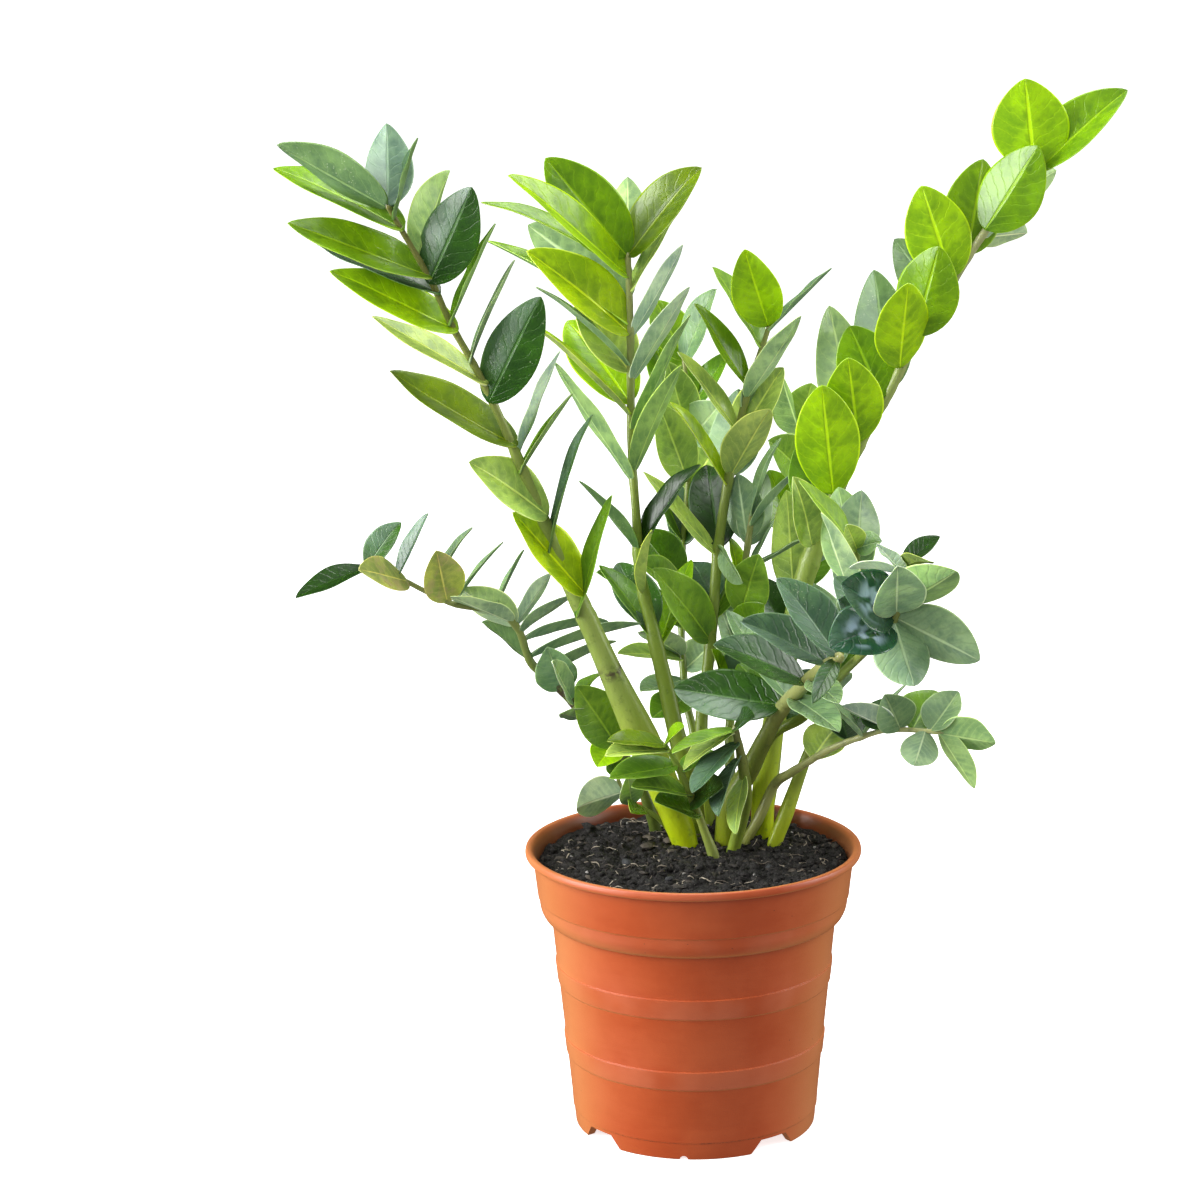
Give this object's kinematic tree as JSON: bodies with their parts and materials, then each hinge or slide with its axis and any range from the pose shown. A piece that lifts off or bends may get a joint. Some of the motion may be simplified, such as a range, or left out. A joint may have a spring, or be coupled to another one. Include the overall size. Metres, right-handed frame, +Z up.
{
  "type": "potted ZZ plant",
  "caption": "Arching fronds of glossy oval leaflets standing in the soil of a round tapered terracotta-coloured plastic nursery pot.",
  "frame": {"origin": "on the pot's axis, at the surface that the pot stands on", "axes": "+Z up along the pot's axis, -Y towards the front of the plant as pictured, +X to the right of the front view"},
  "size_m": [0.42, 0.298, 0.524],
  "materials": {
    "pot": "terracotta-coloured satin moulded plastic",
    "soil": "dark crumbly potting mix with bark and white grains",
    "foliage": "waxy glossy leaflets, yellow-green to dark green, on smooth fleshy stalks"
  },
  "bodies": {
    "root": {"pot": "pot", "soil": "soil", "frond_left": "foliage", "frond_low_left": "foliage", "frond_centre": "foliage", "frond_mid_right": "foliage", "frond_right": "foliage", "frond_front_right": "foliage", "frond_front_rosette": "foliage", "frond_low_right": "foliage", "frond_back_right": "foliage", "frond_front_small": "foliage", "frond_left_sprig": "foliage", "frond_inner": "foliage", "frond_mid_short": "foliage", "frond_back_left": "foliage", "frond_back_far": "foliage"}
  },
  "joints": []
}
